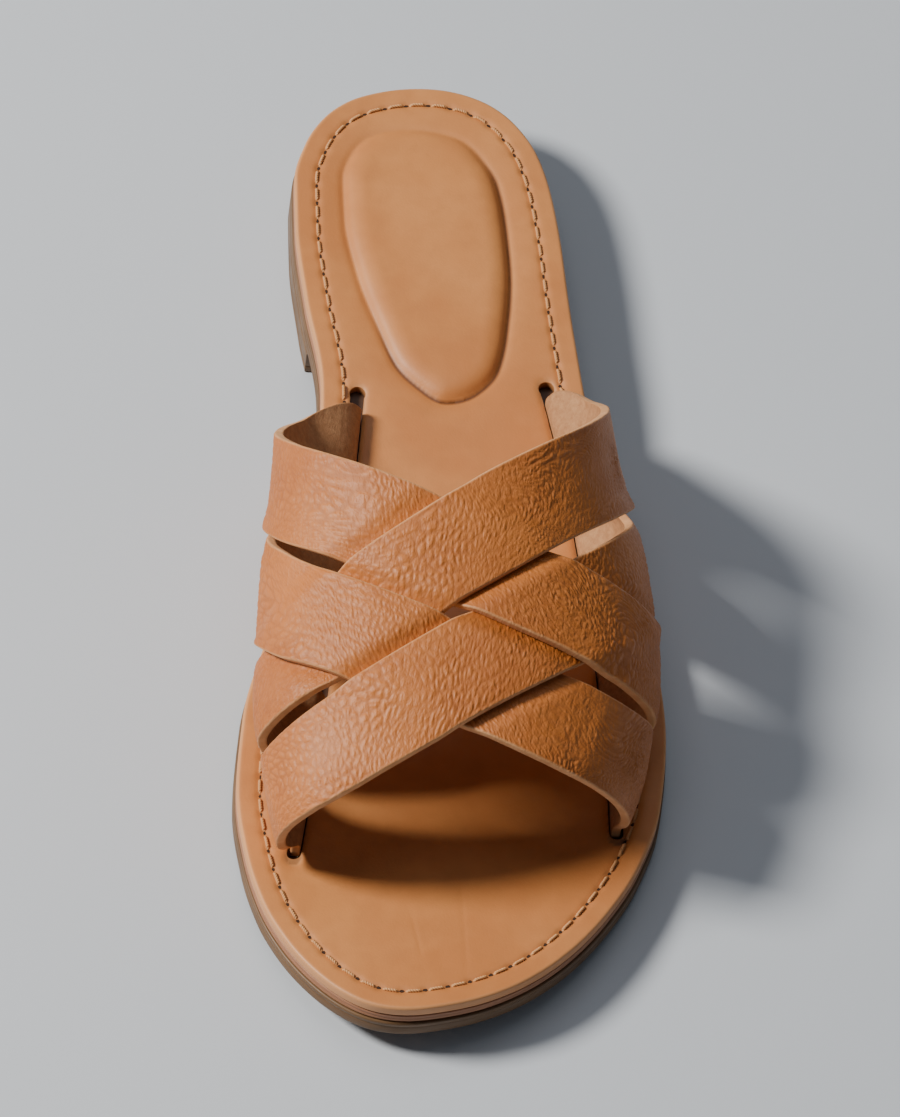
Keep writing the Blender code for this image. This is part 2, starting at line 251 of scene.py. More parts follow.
# Which strap lies over which: where they cross (None), or tucked over the medial (0) or lateral (1) slit
OVER_UNDER = (
    ("rear_up", "rear_down", None),
    ("front_down", "rear_up", None),
    ("rear_down", "front_up", None),
    ("front_up", "front_down", None),
    ("rear_down", "front_down", 0),
    ("rear_up", "front_up", 1),
)

# Soft creases in the straps: place along the strap from its medial end, slant along it from one edge to
# the other, width, depth, and the span across the strap, from 0 at its heel-side edge to 1
CREASES = {
    "rear_up": (
        (146.0, 3.0, 1.9, 0.10, 0.0, 0.55),
        (149.5, 4.0, 1.6, 0.08, 0.05, 0.75),
        (153.0, 3.0, 1.8, 0.09, 0.1, 0.9),
        (38.0, -3.0, 2.2, 0.07, 0.3, 1.0),
    ),
    "front_up": (
        (84.0, 5.0, 2.0, 0.07, 0.0, 0.6),
        (98.0, 4.0, 1.8, 0.06, 0.3, 1.0),
        (143.0, 3.0, 1.9, 0.08, 0.0, 0.8),
    ),
    "rear_down": (
        (40.0, -3.0, 2.0, 0.06, 0.2, 0.9),
        (139.0, -4.0, 2.0, 0.09, 0.1, 1.0),
        (143.0, -3.0, 1.7, 0.07, 0.0, 0.7),
    ),
    "front_down": (
        (43.0, -3.0, 2.1, 0.06, 0.1, 0.8),
        (132.0, -4.0, 1.9, 0.08, 0.2, 1.0),
        (137.0, -3.0, 1.7, 0.06, 0.0, 0.8),
    ),
}

# Soft creases in the insole: x and distance of both ends, width, depth
INSOLE_CREASES = (
    ((1.5, 35.0), (2.0, 13.0), 0.5, 0.05),
    ((-9.0, 24.0), (-8.0, 18.0), 0.5, 0.05),
    ((-24.0, 88.0), (26.0, 84.0), 4.0, 0.18),
    ((-18.0, 74.0), (30.0, 70.0), 3.5, 0.14),
)

# The photo's view of this sandal
CAMERA_PLACE = (-165 * MM, -1201 * MM, 1656 * MM)
CAMERA_FORWARD = (0.0810, 0.5868, -0.8060)
CAMERA_UP = (-0.0407, 0.8070, 0.5890)
CAMERA_LENS = 372.0
SENSOR_WIDTH = 36.0

# Lights: name, place, diameter, power, colour
LIGHTS = (
    ("key", (-1.30, 0.10, 1.15), 0.42, 48.0, (1.0, 0.955, 0.88)),
    ("top", (-0.1, 0.5, 1.7), 1.3, 5.0, (0.96, 0.98, 1.0)),
)
LIGHT_TARGET = (0, 0, 0.03)
SURROUND_COLOUR = (0.80, 0.86, 0.95, 1)
SURROUND_STRENGTH = 0.12
FLOOR_SIZE = 8.0


def hermite(t, step, start, start_slope, end, end_slope):
    """A cubic between two values with given slopes, at t from 0 to 1 over a step."""
    return (
        (2 * t**3 - 3 * t**2 + 1) * start
        + (t**3 - 2 * t**2 + t) * step * start_slope
        + (3 * t**2 - 2 * t**3) * end
        + (t**3 - t**2) * step * end_slope
    )


def smooth(rows, column, place):
    """The values of a table's column at places, on a monotone cubic through its rows."""
    xs = np.array([row[0] for row in rows], float)
    ys = np.array([row[column] for row in rows], float)
    steps = np.diff(xs)
    slopes = np.diff(ys) / steps
    tangents = np.concatenate([slopes[:1], np.zeros(len(xs) - 2), slopes[-1:]])
    for i in range(1, len(xs) - 1):
        if slopes[i - 1] * slopes[i] > 0:
            before = 2 * steps[i] + steps[i - 1]
            after = steps[i] + 2 * steps[i - 1]
            tangents[i] = (before + after) / (before / slopes[i - 1] + after / slopes[i])
    place = np.clip(place, xs[0], xs[-1])
    i = np.clip(np.searchsorted(xs, place, side="right") - 1, 0, len(xs) - 2)
    t = (place - xs[i]) / steps[i]
    return hermite(t, steps[i], ys[i], tangents[i], ys[i + 1], tangents[i + 1])


def blend(value, low, high):
    """A soft step from 0 at low to 1 at high."""
    t = np.clip((value - low) / (high - low), 0, 1)
    return t * t * (3 - 2 * t)


def bell(value, width):
    """A soft bump of height 1 round a value of 0."""
    return np.exp(-((value / width) ** 2))


def unit(vectors):
    """The vectors with length 1."""
    return vectors / np.linalg.norm(vectors, axis=-1, keepdims=True)


def lengths_along(points):
    """How far each point of a line is along it."""
    return np.concatenate([[0.0], np.cumsum(np.linalg.norm(np.diff(points, axis=0), axis=1))])


def turn(distance, first, last):
    """The angle of a station on the half circle from one end of an outline to the other."""
    return np.arccos(1 - 2 * (np.clip(distance, first, last) - first) / (last - first))


def outline_sides(rows, margin, distance):
    """An outline's medial and lateral x at distances from the toe."""
    first, last = rows[0][0], rows[-1][0]
    turned = [(float(turn(row[0], first, last)), row[1], row[2]) for row in rows]
    angle = turn(distance / MM, first - margin / MM, last + margin / MM)
    grow = margin * np.sin(angle)
    return smooth(turned, 1, angle) * MM - grow, smooth(turned, 2, angle) * MM + grow


def underside(distance):
    """Height of the outsole's underside over the floor."""
    return smooth(UNDERSIDE, 1, distance / MM) * MM


def at_toe(distance):
    """The Y of a distance from the toe."""
    return distance - SOLE_LENGTH / 2


def slit_point(side, place):
    """The slit's middle line: x and distance from the toe, from its heel end (0) to its toe end (1)."""
    heel_end, toe_end, bow = SLITS[side]
    x = heel_end[0] + (toe_end[0] - heel_end[0]) * place + 4 * bow * place * (1 - place)
    distance = heel_end[1] + (toe_end[1] - heel_end[1]) * place
    return x * MM, distance * MM


def slit_reach(side):
    """Length of the slit's middle line, and the place where the cut ends."""
    heel_end, toe_end, _ = SLITS[side]
    length = math.dist(heel_end, toe_end)
    return length * MM, 1 + SLIT_OVERRUN[side] / length


def nearest(points, x, y):
    """Distance from each place to the nearest of the points."""
    tree = KDTree(len(points))
    for i, point in enumerate(points):
        tree.insert((*point, 0), i)
    tree.balance()
    return np.array([tree.find((*place, 0))[2] for place in zip(x, y)])


def value_noise(x, y, seed):
    """Smooth noise from -1 to 1 with a period of about 1 in x and y."""
    size = NOISE_TABLE
    table = np.random.default_rng(seed).uniform(-1, 1, (size, size))
    i, j = np.floor(x).astype(int), np.floor(y).astype(int)
    a, b = x - i, y - j
    a, b = a * a * (3 - 2 * a), b * b * (3 - 2 * b)
    low = table[i % size, j % size] * (1 - b) + table[i % size, (j + 1) % size] * b
    high = table[(i + 1) % size, j % size] * (1 - b) + table[(i + 1) % size, (j + 1) % size] * b
    return low * (1 - a) + high * a


def pebbles(x, y, seed):
    """How far a place is from the border between two pebbles, 0 on it, with cells about 1 wide."""
    size = NOISE_TABLE
    jitter = np.random.default_rng(seed).uniform(0.08, 0.92, (size, size, 2))
    i, j = np.floor(x).astype(int), np.floor(y).astype(int)
    first = np.full(x.shape, np.inf)
    second = np.full(x.shape, np.inf)
    for di in (-1, 0, 1):
        for dj in (-1, 0, 1):
            point = jitter[(i + di) % size, (j + dj) % size]
            far = np.hypot(i + di + point[..., 0] - x, j + dj + point[..., 1] - y)
            second = np.minimum(second, np.maximum(first, far))
            first = np.minimum(first, far)
    return second - first


def curve_through(points, count):
    """Points on a smooth curve through the given ones: both ends, and evenly between their neighbours."""
    points = np.array(points)
    chord = lengths_along(points)
    tangents = np.gradient(points, chord, axis=0)
    fine = []
    for i in range(len(points) - 1):
        step = chord[i + 1] - chord[i]
        for t in np.linspace(0, 1, CURVE_STEPS + 1)[1 if i else 0 :]:
            fine.append(hermite(t, step, points[i], tangents[i], points[i + 1], tangents[i + 1]))
    fine = np.array(fine)
    length = lengths_along(fine)
    inner = np.linspace(length[CURVE_STEPS], length[-1 - CURVE_STEPS], count - 2)
    places = np.concatenate([[0.0], inner, [length[-1]]])
    return np.stack([np.interp(places, length, fine[:, axis]) for axis in range(3)], -1)


def arch(place, count):
    """Points across the foot on the straps' middle surface, from the medial slit to the lateral one."""
    height, half_width, lean, top_shift, side_shift, forward = (
        smooth(ARCHES, column, place) * (math.radians(1) if column == 3 else MM) for column in range(1, 7)
    )
    feet = [np.array(slit_point(side, place)) for side in ("medial", "lateral")]
    across = feet[1] - feet[0]
    half_chord = np.linalg.norm(across) / 2
    across /= 2 * half_chord
    middle = (feet[0] + feet[1]) / 2
    sunk = math.sqrt(1 - (half_chord / half_width) ** 2)
    rise = height / (1 + sunk)
    below = math.asin(sunk)
    base = underside(middle[1]) + INSOLE_TOP
    knots = []
    for step in ARCH_KNOTS:
        angle = math.pi + below - (math.pi + 2 * below) * step
        out, up = half_width * math.cos(angle), rise * (sunk + math.sin(angle))
        share = up / height
        at_sides = 4 * share * (1 - share)
        x = middle[0] + out * across[0] + top_shift * share + side_shift * at_sides
        distance = middle[1] + out * across[1] - up * math.sin(lean) - forward * at_sides
        knots.append((x, at_toe(distance), base + up * math.cos(lean)))
    ends = []
    for x, distance in feet:
        floor = underside(distance)
        low = (x, at_toe(distance), floor + INSOLE_LOW)
        high = (x, at_toe(distance), floor + INSOLE_TOP + FOOT_CLEAR)
        ends.append([low, high])
    return curve_through(ends[0] + knots + ends[1][::-1], count)


class Surface:
    """The straps' middle surface: points for places across (0 to 1) and places along the slits."""

    foot = 1 / (ARCH_POINTS - 1)

    def __init__(self):
        self.along = np.linspace(*SURFACE_ENDS, SURFACE_ROWS)
        grid = np.array([arch(place, ARCH_POINTS) for place in self.along])
        # The cubic's end columns keep the even spacing of the others
        for end, near, further in ((0, 1, 2), (-1, -2, -3)):
            even = np.linalg.norm(grid[:, near] - grid[:, further], axis=1, keepdims=True)
            grid[:, end] = grid[:, near] + unit(grid[:, end] - grid[:, near]) * even
        self.grid = grid

    @staticmethod
    def weights(t):
        """Catmull-Rom weights of four neighbours."""
        return (
            (-(t**3) + 2 * t**2 - t) / 2,
            (3 * t**3 - 5 * t**2 + 2) / 2,
            (-3 * t**3 + 4 * t**2 + t) / 2,
            (t**3 - t**2) / 2,
        )

    def point(self, across, along):
        across, along = np.broadcast_arrays(across, along)
        row = (along - self.along[0]) / (self.along[1] - self.along[0])
        column = np.clip(across, self.foot, 1 - self.foot) * (ARCH_POINTS - 1)
        i = np.clip(np.floor(row).astype(int), 1, SURFACE_ROWS - 3)
        j = np.clip(np.floor(column).astype(int), 1, ARCH_POINTS - 3)
        total = 0
        for di, by_row in enumerate(self.weights(row - i)):
            for dj, by_column in enumerate(self.weights(column - j)):
                total = total + self.grid[i + di - 1, j + dj - 1] * (by_row * by_column)[..., None]
        return total

    def slopes(self, across, along):
        """How a point moves with each of its two places."""
        before = np.clip(across - SLOPE_STEP, self.foot, None)
        after = np.clip(across + SLOPE_STEP, None, 1 - self.foot)
        by_across = (self.point(after, along) - self.point(before, along)) / (after - before)[..., None]
        ahead, behind = self.point(across, along + SLOPE_STEP), self.point(across, along - SLOPE_STEP)
        return by_across, (ahead - behind) / (2 * SLOPE_STEP)

    def normal(self, across, along):
        by_across, by_along = self.slopes(*np.broadcast_arrays(across, along))
        return unit(np.cross(by_along, by_across))


def strap_line(name, across):
    """A strap's centre line: its place along the slits, steeper in the middle than at its feet."""
    first, middle, last = STRAPS[name]
    s = across - STRAP_SWAY * np.sin(2 * np.pi * across) / (2 * np.pi)
    return first * (1 - s) * (1 - 2 * s) + middle * 4 * s * (1 - s) + last * s * (2 * s - 1)


def strap_reach(surface, name, across):
    """How far, in places along the slits, 1 m square to a strap's centre line reaches."""
    line = strap_line(name, across)
    by_across, by_along = surface.slopes(across, line)
    ahead, behind = strap_line(name, across + SLOPE_STEP), strap_line(name, across - SLOPE_STEP)
    rise = (ahead - behind) / (2 * SLOPE_STEP)
    outward = surface.normal(across, line)
    square = np.cross(outward, by_across + by_along * rise[..., None])
    return np.linalg.norm(square, axis=-1) / np.abs(np.sum(by_along * square, axis=-1))


def strap_lift(surface, name, across, along):
    """How far a strap's middle stands over or under the common surface where it meets others."""
    lift = 0.0
    for over, under, end in OVER_UNDER:
        if name in (over, under):
            other = under if name == over else over
            distance = np.abs(along - strap_line(other, across)) / strap_reach(surface, other, across)
            on_top = 1 - blend(distance, STRAP_WIDTH / 2 - LIFT_INSIDE, STRAP_WIDTH / 2 + LIFT_OUTSIDE)
            if end is not None:
                from_slit = np.abs(across - end)
                on_top = on_top * blend(from_slit, surface.foot, TUCK_START)
                on_top = on_top * (1 - blend(from_slit, *TUCK_FADE))
            lift = lift + (1 if name == over else -1) * on_top
    return lift * (STRAP_THICKNESS + STRAP_CLEARANCE) / 2


def new_object(name, mesh):
    thing = bpy.data.objects.new(name, mesh)
    bpy.context.scene.collection.objects.link(thing)
    return thing


def grid_faces(rows, columns):
    """The quads between rows of points; each row is a closed ring."""
    index = np.arange(rows * columns).reshape(rows, columns)
    index = np.concatenate([index, index[:, :1]], 1)
    return np.stack([index[:-1, :-1], index[:-1, 1:], index[1:, 1:], index[1:, :-1]], -1).reshape(-1, 4)


def grid_mesh(name, points):
    """A mesh of quads on rings of points."""
    mesh = bpy.data.meshes.new(name)
    mesh.from_pydata(points.reshape(-1, 3).tolist(), [], grid_faces(*points.shape[:2]).tolist())
    return mesh


@contextmanager
def editing(mesh):
    """The mesh as a model that can be edited."""
    model = bmesh.new()
    model.from_mesh(mesh)
    yield model
    model.to_mesh(mesh)
    model.free()


def close_ends(model, count):
    """Closes the first and last ring, each of a number of vertices, and turns faces outwards."""
    model.verts.ensure_lookup_table()
    for first in (0, len(model.verts) - count):
        model.faces.new(model.verts[first : first + count])
    bmesh.ops.recalc_face_normals(model, faces=model.faces[:])


def set_attribute(mesh, name, values):
    """Stores a number for each vertex, for the materials to read."""
    mesh.attributes.new(name, "FLOAT", "POINT").data.foreach_set("value", np.asarray(values, np.float32))


def weld(mesh):
    """Joins vertices that lie together, turns faces outwards and shades smooth between sharp edges."""
    with editing(mesh) as model:
        bmesh.ops.remove_doubles(model, verts=model.verts[:], dist=WELD_DISTANCE)
        bmesh.ops.dissolve_degenerate(model, edges=model.edges[:], dist=WELD_DISTANCE)
        bmesh.ops.recalc_face_normals(model, faces=model.faces[:])
    mesh.shade_smooth()
    mesh.set_sharp_from_angle(angle=SHARP_ANGLE)


def corner(radius, steps):
    """A quarter round: at each step the share of its turn, and what is left of the radius both ways."""
    for k in range(steps + 1):
        angle = math.pi / 2 * k / steps
        yield k / steps, radius * (1 - math.sin(angle)), radius * (1 - math.cos(angle))


def strap_profile():
    """The strap's section as a closed loop of (place across, height, cut edge, flesh side)."""
    half, thick = STRAP_WIDTH / 2, STRAP_THICKNESS / 2
    loop = []
    for across in np.linspace(-1, 1, STRAP_COLUMNS):
        loop.append((across * (half - TOP_ROUNDING), thick - CROWN * across**4, 0.0, 0.0))
    for share, out, down in list(corner(TOP_ROUNDING, TOP_STEPS))[1:]:
        loop.append((half - out, thick - CROWN - down, share, 0.0))
    wall_top, wall_low = thick - CROWN - TOP_ROUNDING, LOW_ROUNDING - thick
    for k in range(1, WALL_STEPS):
        loop.append((half, wall_top + (wall_low - wall_top) * k / WALL_STEPS, 1.0, 0.0))
    for share, up, out in corner(LOW_ROUNDING, LOW_STEPS):
        loop.append((half - out, up - thick, 1.0 - share, share))
    side = loop[STRAP_COLUMNS:]
    for across in np.linspace(1, -1, STRAP_UNDER_COLUMNS)[1:-1]:
        loop.append((across * (half - LOW_ROUNDING), -thick, 0.0, 1.0))
    loop += [(-w, h, cut, flesh) for w, h, cut, flesh in side[::-1]]
    return np.array(loop)


def grain(s, t, seed):
    """The pebbled grain at places along and across a strap: height from 0 to 1, and depth in a furrow."""
    cell = GRAIN_CELL
    slow_s, slow_t = s / (WANDER_SIZE * cell), t / (WANDER_SIZE * cell)
    x = s + cell * GRAIN_WANDER * value_noise(slow_s, slow_t, seed + 1)
    y = t + cell * GRAIN_WANDER * value_noise(slow_s + 9.3, slow_t, seed + 2)
    swell = value_noise(s / (SWELL_SIZE[0] * cell), t / (SWELL_SIZE[1] * cell), seed + 3)
    size = cell * (1 + GRAIN_SWELL * swell)
    coarse = pebbles((x + GRAIN_SLANT * y) / size, y / (size * GRAIN_STRETCH), seed)
    fine = pebbles((x - GRAIN_SLANT * y) / (FINE_SIZE[0] * size), y / (FINE_SIZE[1] * size), seed + 7)
    patches = value_noise(s / (STRENGTH_SIZE * cell), t / (STRENGTH_SIZE * cell), seed + 5)
    strength = 0.65 + 0.35 * patches
    furrow = strength * (1 - blend(coarse, 0.0, GRAIN_GROOVE))
    height = strength * (0.8 * blend(coarse, -0.1, 0.75) + 0.2 * blend(fine, 0.0, 0.6))
    return height, furrow


def strap_creases(name, s, t):
    """Depth of a strap's creases at places along and across it, each with a low ridge beside it."""
    share = t / STRAP_WIDTH + 0.5
    depth = 0.0
    for place, slant, width, deep, start, end in CREASES[name]:
        off = (s - (place + slant * (share - 0.5)) * MM) / (width * MM)
        span = blend(share, start - 0.15, start + 0.1) * (1 - blend(share, end - 0.1, end + 0.15))
        depth = depth + deep * MM * span * (bell(off, 1) - 0.45 * bell(off - 1.7, 1))
    return depth


def strap_shape(name, surface, profile, seed):
    """A strap's points, places along and across it, and furrows: a grid of stations by section places."""
    foot = surface.foot
    stations = np.linspace(foot, 1 - foot, STRAP_STATIONS)
    across = np.concatenate([[0.0, foot * 0.5], stations, [1 - foot * 0.5, 1.0]])
    inner = np.clip(across, foot, 1 - foot)
    u = inner[:, None]
    w, h, cut, flesh = profile.T[:, None]
    narrow = 1 - FOOT_NARROWING * (1 - blend(u, *NARROWING_SPAN))
    along = strap_line(name, u) + w * strap_reach(surface, name, inner)[:, None] * narrow
    centre = surface.point(inner, strap_line(name, inner))
    s = np.broadcast_to(lengths_along(centre)[:, None], along.shape)
    t = np.broadcast_to(w, along.shape)
    height, furrow = grain(s, t, seed)
    fuzz = value_noise(s / FUZZ_SIZE, t / FUZZ_SIZE, seed + 11)
    ripple = value_noise(s / RIPPLE_SIZE[0], t / RIPPLE_SIZE[1], seed + 12)
    on_grain = 1 - np.maximum(cut, flesh)
    soft = GRAIN_DEPTH * (height - 1) - strap_creases(name, s, t) + RIPPLE_DEPTH * ripple
    relief = on_grain * soft + (1 - on_grain) * FUZZ_DEPTH * fuzz
    out = strap_lift(surface, name, u, along) + h + relief
    points = surface.point(u, along) + surface.normal(u, along) * out[..., None]
    # The feet go straight down into the slits
    for row, near in ((0, 2), (1, 2), (-2, -3), (-1, -3)):
        share = abs(inner[row] - across[row]) / foot
        points[row] = points[near]
        points[row, :, 2] -= (INSOLE_THICKNESS + FOOT_CLEAR) * share
    return points, s, t, furrow * on_grain


def close_strap(mesh, count, s, t):
    """Closes a strap's two ends and gives it a map of its places along and across."""
    with editing(mesh) as model:
        close_ends(model, count)
        uv = model.loops.layers.uv.new("strap")
        for face in model.faces:
            for loop in face.loops:
                i = loop.vert.index
                loop[uv].uv = (s[i], t[i])
    mesh.shade_smooth()


def make_strap(name, surface, leather, seed):
    """One strap, woven over and under the others, with its grain, cut edges and flesh side."""
    profile = strap_profile()
    points, s, t, furrow = strap_shape(name, surface, profile, seed)
    cut, flesh = (np.broadcast_to(profile[:, column], s.shape) for column in (2, 3))
    mesh = grid_mesh(f"strap_{name}", points)
    close_strap(mesh, len(profile), s.reshape(-1), (t + FLESH_SHIFT * flesh).reshape(-1))
    for mark, values in (("furrow", furrow), ("cut", cut), ("flesh", flesh)):
        set_attribute(mesh, mark, values.reshape(-1))
    strap = new_object(f"strap_{name}", mesh)
    mesh.materials.append(leather)
    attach(strap, "root")
    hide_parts("upper")


def outline_loop(rows, margin, stations, first=None):
    """An outline as a closed loop of evenly spaced points, and the middle line's point for each."""
    low = rows[0][0] * MM - margin if first is None else first
    high = rows[-1][0] * MM + margin
    angle = np.linspace(0, np.pi, OUTLINE_SAMPLES)
    distance = low + (high - low) * (1 - np.cos(angle)) / 2
    medial, lateral = outline_sides(rows, margin, distance)
    step = np.hypot(np.diff(distance), (np.abs(np.diff(medial)) + np.abs(np.diff(lateral))) / 2)
    length = np.concatenate([[0.0], np.cumsum(step)])
    distance = np.interp(np.linspace(0, length[-1], stations + 1), length, distance)
    medial, lateral = outline_sides(rows, margin, distance)
    fan = SPINE_FAN * (lateral - medial).max()
    middle_at = np.clip(distance, low + (fan if first is None else 0), high - fan)
    middle = np.interp(middle_at, distance, (medial + lateral) / 2)

    def there_and_back(out, back, at):
        return np.concatenate([np.stack([out, at], -1), np.stack([back, at], -1)[-2:0:-1]])

    return there_and_back(medial, lateral, distance), there_and_back(middle, middle, middle_at)


def inward(loop):
    """The loop's inward normals."""
    along = unit(np.roll(loop, -1, axis=0) - np.roll(loop, 1, axis=0))
    normal = np.stack([along[:, 1], -along[:, 0]], -1)
    to_middle = loop.mean(axis=0) - loop
    if np.sum(normal * to_middle) < 0:
        normal = -normal
    return normal


def slab(name, margin, level, profile, stations, top_columns, first=None):
    """A plate: rings round the sole's outline along a profile of (inset, height), closed over the middle.

    Heights count from a level over the sole's underside, or from the floor where it is None.
    """
    loop, spine = outline_loop(OUTLINE, margin, stations, first)
    normal = inward(loop)

    def ring(points, height):
        return np.concatenate([points, np.full((len(points), 1), height)], 1)

    def cover(inset, height, shares):
        edge = loop + normal * inset
        return [ring(spine + (edge - spine) * share, height) for share in shares]

    rings = cover(*profile[0], np.linspace(0, 1, LOW_COLUMNS)[:-1])
    rings += [ring(loop + normal * inset, height) for inset, height in profile]
    rings += cover(*profile[-1], np.linspace(1, 0, top_columns)[1:])
    points = np.array(rings)
    height_share = points[..., 2].reshape(-1) / profile[-1][1]
    if level is not None:
        points[..., 2] += underside(points[..., 1]) + level
    points[..., 1] = at_toe(points[..., 1])
    mesh = grid_mesh(name, points)
    set_attribute(mesh, "level", height_share)
    return mesh


def rounded_profile(thickness, low_radius, top_radius, groove=None):
    """A plate's rim: rounded below and above, with a small groove of (height, width, depth)."""
    profile = [(out, up) for _, out, up in corner(low_radius, CORNER_STEPS)]
    if groove:
        height, width, depth = groove
        for off in (-1.0, -0.4, 0.0, 0.4, 1.0):
            profile.append((depth * (1 - abs(off)) ** 0.7, height + off * width))
    return profile + [(out, thickness - down) for _, down, out in corner(top_radius, CORNER_STEPS)]


def seam_points():
    """The seam's line as points at lengths along it, the number of stitches, their pitch, its length."""
    loop, _ = outline_loop(OUTLINE, 0.0, RIM_POINTS)
    line = loop + inward(loop) * SEAM_INSET
    closed = np.concatenate([line, line[:1]])
    length = lengths_along(closed)
    total = length[-1]
    count = round(total / STITCH_PITCH)

    def at(place):
        place = np.mod(place, total)
        return np.stack([np.interp(place, length, closed[:, axis]) for axis in (0, 1)], -1)

    return at, count, total / count, total


def slit_distance(x, distance):
    """How far places are outside the slits' walls."""
    walls = []
    for side in SLITS:
        line = np.stack(slit_point(side, np.linspace(0, slit_reach(side)[1], SLIT_POINTS)), -1)
        walls.append(nearest(line, x, distance) - SLOT_WIDTH / 2)
    return np.minimum(*walls)


def pad_distance(x, distance):
    """How far places are inside the pad's outline; negative outside it."""
    loop, _ = outline_loop(PAD_OUTLINE, 0.0, PAD_POINTS)
    far = nearest(loop, x, distance)
    medial, lateral = outline_sides(PAD_OUTLINE, 0.0, distance)
    first, last = PAD_OUTLINE[0][0] * MM, PAD_OUTLINE[-1][0] * MM
    inside = (x > medial) & (x < lateral) & (distance > first) & (distance < last)
    return np.where(inside, far, -far)


def insole_creases(x, distance):
    """Depth of each of the insole's soft creases."""
    for start, end, width, deep in INSOLE_CREASES:
        start, end = np.array(start) * MM, np.array(end) * MM
        length = np.linalg.norm(end - start)
        way = (end - start) / length
        off = np.stack([x, distance], -1) - start
        along, beside = off @ way, off @ np.array((-way[1], way[0]))
        over = np.maximum(np.maximum(-along, along - length), 0)
        yield deep * MM * np.exp(-((beside / (width * MM)) ** 2) - (over / CREASE_END) ** 2)


def insole_relief(x, distance):
    """The insole's relief; and for its colours: seam, holes, place in the pad, distance to the slits."""
    at, count, pitch, total = seam_points()
    groove = bell(nearest(at(np.arange(0, total, SEAM_STEP)), x, distance), SEAM_GROOVE_WIDTH)
    dimple = bell(nearest(at(np.arange(count) * pitch), x, distance), DIMPLE_RADIUS)
    inside = pad_distance(x, distance)
    strength = 1 - PAD_FADE * blend(distance, *PAD_FADE_SPAN)
    dome = np.clip(inside / PAD_ROUNDING, 0, 1)
    rise = PAD_RISE * strength * (1 - (1 - dome) ** PAD_POWER)
    furrow = FURROW_DEPTH * (bell(inside, FURROW_WIDTH) * strength)
    slope = SLOPE_DEPTH * bell(np.minimum(inside, 0), SLOPE_WIDTH) * strength
    wall = slit_distance(x, distance)
    relief = rise - furrow - slope - SEAM_GROOVE_DEPTH * groove - DIMPLE_DEPTH * dimple
    for depth, width in SLIT_BORDERS:
        relief = relief - depth * np.exp(-np.clip(wall, 0, None) / width)
    for depth in insole_creases(x, distance):
        relief = relief - depth
    for depth, across, along, seed in INSOLE_WAVES:
        relief = relief + depth * MM * value_noise(x / (across * MM), distance / (along * MM), seed)
    return relief, groove, dimple, inside, wall


def cutter_plate(name, side):
    """A closed plate along one slit, for the cut."""
    length, end = slit_reach(side)
    places = end * np.sin(np.linspace(0, math.pi / 2, CUT_STATIONS))
    x, distance = slit_point(side, places)
    half = SLOT_WIDTH / 2
    to_round = half - np.minimum((end - places) * length, half)
    wide = np.sqrt(np.maximum(half**2 - to_round**2, CUT_TIP**2))
    low = underside(distance) + MIDSOLE_LOW
    lines = []
    for sign, up in ((-1, 0), (1, 0), (1, CUT_HEIGHT), (-1, CUT_HEIGHT)):
        lines.append(np.stack([x + sign * wide, at_toe(distance), low + up], -1))
    mesh = grid_mesh(name, np.stack(lines, 1))
    with editing(mesh) as model:
        close_ends(model, len(lines))
    return mesh


def punch_cutter(name, side):
    """The round hole at a slit's heel end."""
    x, distance = slit_point(side, 0)
    place = (x, at_toe(distance), underside(distance) + INSOLE_LOW)
    sizes = {"radius1": PUNCH_RADIUS, "radius2": PUNCH_RADIUS, "depth": CUT_HEIGHT}
    mesh = bpy.data.meshes.new(name)
    with editing(mesh) as model:
        bmesh.ops.create_cone(model, cap_ends=True, segments=PUNCH_SIDES, **sizes)
        bmesh.ops.translate(model, verts=model.verts[:], vec=place)
    return mesh


def cut_slits(piece):
    """Cuts both slits and their punched holes right through the insole."""
    cutters = []
    for side in SLITS:
        for name, make in (("slit", cutter_plate), ("punch", punch_cutter)):
            cutter = new_object(f"{side}_{name}", make(f"{side}_{name}", side))
            cut = piece.modifiers.new(cutter.name, "BOOLEAN")
            cut.operation = "DIFFERENCE"
            cut.solver = "MANIFOLD"
            cut.object = cutter
            cutters.append(cutter)
    evaluated = piece.evaluated_get(bpy.context.evaluated_depsgraph_get())
    mesh = bpy.data.meshes.new_from_object(evaluated)
    piece.modifiers.clear()
    piece.data = mesh
    for cutter in cutters:
        bpy.data.objects.remove(cutter)


def insole_places(mesh):
    """The insole's vertices, their distances from the toe and their heights over its underside."""
    co = np.zeros(len(mesh.vertices) * 3, np.float32)
    mesh.vertices.foreach_get("co", co)
    co = co.reshape(-1, 3).astype(float)
    distance = co[:, 1] + SOLE_LENGTH / 2
    return co, distance, co[:, 2] - underside(distance) - INSOLE_LOW


def near_top(height, low, high):
    """A soft step from 0 at a depth under the insole's top to 1 at a smaller one, both in mm."""
    return blend(height, INSOLE_THICKNESS - low * MM, INSOLE_THICKNESS - high * MM)


